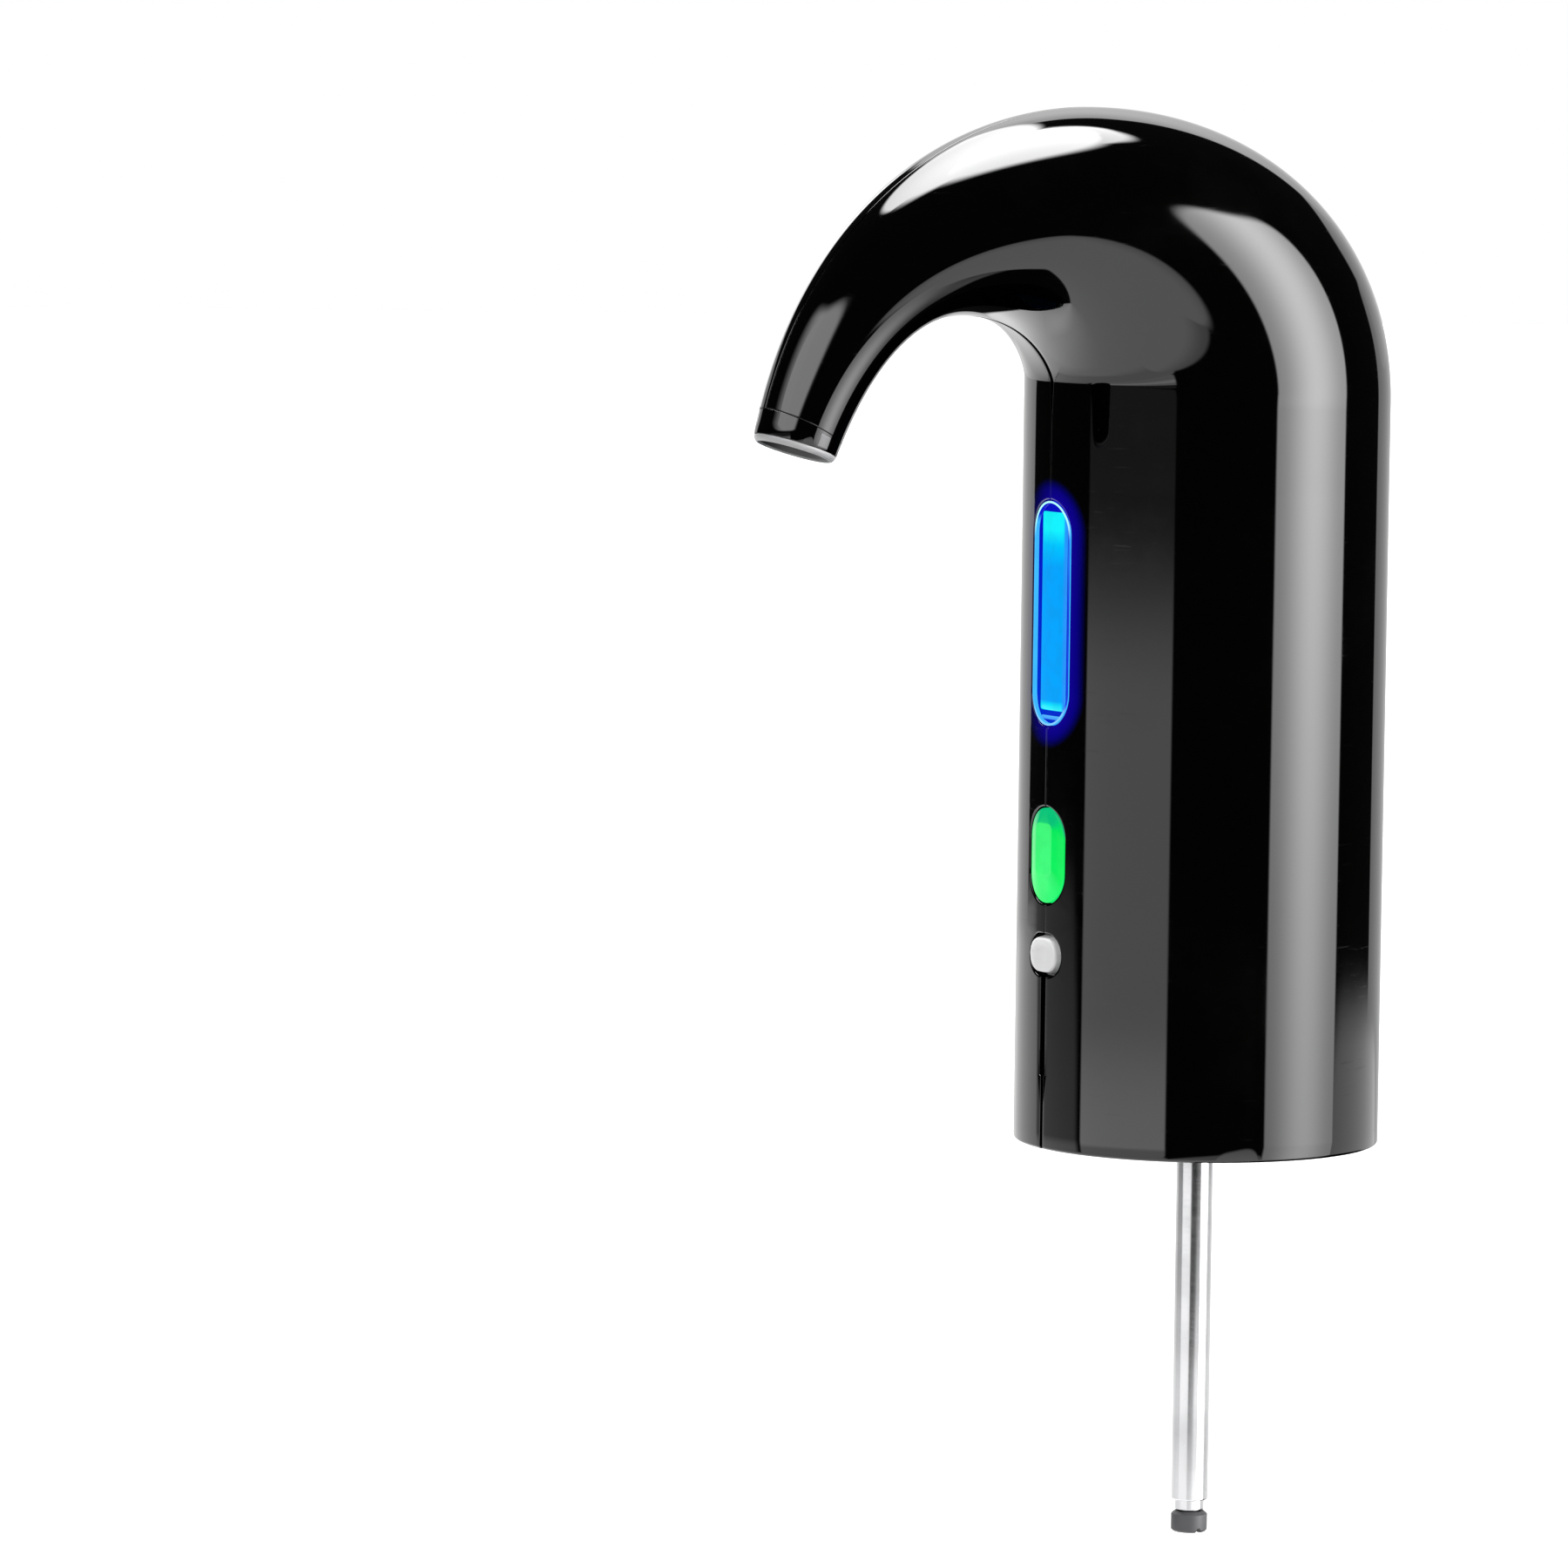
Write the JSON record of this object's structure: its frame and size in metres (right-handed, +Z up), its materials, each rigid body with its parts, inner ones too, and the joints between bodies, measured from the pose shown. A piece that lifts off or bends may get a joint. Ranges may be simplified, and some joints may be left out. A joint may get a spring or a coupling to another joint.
{
  "type": "electric wine aerator",
  "caption": "Electric wine aerator that sits on a bottle's neck, pumps wine up a telescopic dip tube and pours it from a gooseneck spout.",
  "frame": {"origin": "on the body's axis, in the plane where the bottle's lip seats against the gasket", "axes": "+Z up along the body and the bottle's neck, -Y forward towards the spout and the controls, +X towards the half of the casing that the picture shows"},
  "size_m": [0.07, 0.1335, 0.2741],
  "materials": {
    "black_gloss": "polished piano-black ABS",
    "black_satin": "satin black ABS",
    "collar_grey": "light grey gloss",
    "blue_lens": "lit blue clear lens",
    "clear_guide": "frosted light guide",
    "green_lens": "lit green lens",
    "white_plastic": "white semi-gloss",
    "silicone_grey": "grey food silicone",
    "silicone_clear": "translucent silicone",
    "stainless": "drawn stainless tube",
    "zinc_steel": "zinc plated",
    "brass": "turned brass",
    "natural_abs": "natural moulded plastic",
    "rubber": "black rubber",
    "circuit_board": "green solder mask",
    "cell_wrap": "shrink wrap",
    "lead_red": "insulated wire",
    "lead_black": "insulated wire"
  },
  "bodies": {
    "root": {"left_shell": "black_gloss", "right_shell": "black_gloss", "spout_collar": "collar_grey", "bottom_cover": "black_satin", "seat_gasket": "silicone_grey", "neck_stopper": "silicone_grey", "wine_hub": "natural_abs", "tube_outer": "stainless", "chassis": "black_satin", "cover_screw_1": "zinc_steel", "cover_screw_2": "zinc_steel", "cover_screw_3": "zinc_steel", "cover_screw_4": "zinc_steel", "chassis_screw_1": "zinc_steel", "chassis_screw_2": "zinc_steel", "board_screw_1": "zinc_steel", "board_screw_2": "zinc_steel", "pump_clamp": "natural_abs", "pump_clamp_screw": "zinc_steel", "battery_clip": "natural_abs", "battery_clip_screw": "zinc_steel", "motor": "zinc_steel", "pump_housing": "natural_abs", "wobble_plate": "white_plastic", "pump_diaphragm": "rubber", "pump_valve_head": "natural_abs", "battery_cell": "cell_wrap", "battery_contact": "brass", "main_board": "circuit_board", "charge_board": "circuit_board", "charge_socket": "zinc_steel", "window_lens": "blue_lens", "light_guide": "clear_guide", "window_reflector": "white_plastic", "window_lamp_1": "white_plastic", "window_lamp_2": "white_plastic", "window_lamp_3": "white_plastic", "pour_lamp": "white_plastic", "pour_switch_housing": "black_satin", "power_switch_housing": "black_satin", "outlet_nozzle": "silicone_grey", "aerator_insert": "white_plastic", "wine_riser": "silicone_clear", "air_hose_upper": "silicone_clear", "air_hose_lower": "silicone_clear", "check_valve": "white_plastic", "motor_lead_red": "lead_red", "motor_lead_black": "lead_black", "battery_lead_red": "lead_red", "battery_lead_black": "lead_black"},
    "pour_key": {"pour_button": "green_lens", "pour_switch_actuator": "rubber"},
    "power_key": {"power_button": "white_plastic", "power_switch_actuator": "rubber"},
    "pump_rotor": {"motor_shaft": "stainless", "pump_eccentric": "brass"},
    "middle_stage": {"tube_middle": "stainless"},
    "inner_stage": {"tube_inner": "stainless", "tube_foot": "silicone_grey"}
  },
  "joints": [
    {"name": "pour_press", "type": "slide", "parent": "root", "child": "pour_key", "axis": [0, 1, 0], "range_m": [0, 0.001], "stiffness_N_per_m": 800, "springref_m": -0.0003},
    {"name": "power_press", "type": "slide", "parent": "root", "child": "power_key", "axis": [0, 1, 0], "range_m": [0, 0.0008], "stiffness_N_per_m": 800, "springref_m": -0.0003},
    {"name": "rotor_spin", "type": "hinge", "parent": "root", "child": "pump_rotor", "pos_m": [-0.01516, 0.00875, 0.0396], "axis": [0, 0, 1], "continuous": true},
    {"name": "middle_tube_slide", "type": "slide", "parent": "root", "child": "middle_stage", "axis": [0, 0, -1], "range_m": [0, 0.08]},
    {"name": "inner_tube_slide", "type": "slide", "parent": "middle_stage", "child": "inner_stage", "axis": [0, 0, -1], "range_m": [0, 0.08]}
  ]
}
